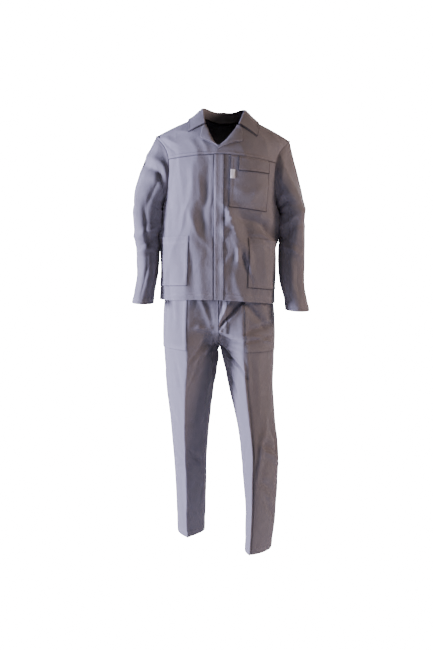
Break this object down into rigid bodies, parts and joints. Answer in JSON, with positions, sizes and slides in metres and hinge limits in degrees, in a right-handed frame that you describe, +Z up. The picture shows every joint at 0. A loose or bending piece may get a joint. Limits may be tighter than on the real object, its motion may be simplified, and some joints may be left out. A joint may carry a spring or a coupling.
{
  "type": "work suit",
  "caption": "Work suit of a long-sleeved jacket and straight trousers in grey twill, hollow and open at neck, cuffs and hems, as when worn.",
  "frame": {"origin": "the base of the wearer's neck, where the wearer's neck and shoulders hold the jacket up", "axes": "+Z is up, the wearer faces -Y, and +X is the wearer's left"},
  "size_m": [0.564, 0.3589, 1.3461],
  "materials": {
    "grey_twill": "matt polycotton twill, mid grey with a slight mauve cast",
    "woven_tab": "plain off-white woven tape",
    "grey_button": "dark grey plastic"
  },
  "bodies": {
    "root": {"jacket_front_right": "grey_twill", "jacket_front_left": "grey_twill", "jacket_yoke_right": "grey_twill", "jacket_yoke_left": "grey_twill", "jacket_back": "grey_twill", "jacket_sleeve_right": "grey_twill", "jacket_sleeve_left": "grey_twill", "jacket_collar": "grey_twill", "jacket_lapel_right": "grey_twill", "jacket_lapel_left": "grey_twill", "jacket_placket": "grey_twill", "chest_pocket": "grey_twill", "chest_pocket_flap": "grey_twill", "lower_pocket_right": "grey_twill", "lower_pocket_left": "grey_twill", "trouser_front_right": "grey_twill", "trouser_front_left": "grey_twill", "trouser_back_right": "grey_twill", "trouser_back_left": "grey_twill", "front_pocket_right": "grey_twill", "front_pocket_left": "grey_twill", "fly": "grey_twill", "waistband": "grey_twill", "pocket_tab": "woven_tab", "waist_button": "grey_button"}
  },
  "joints": []
}
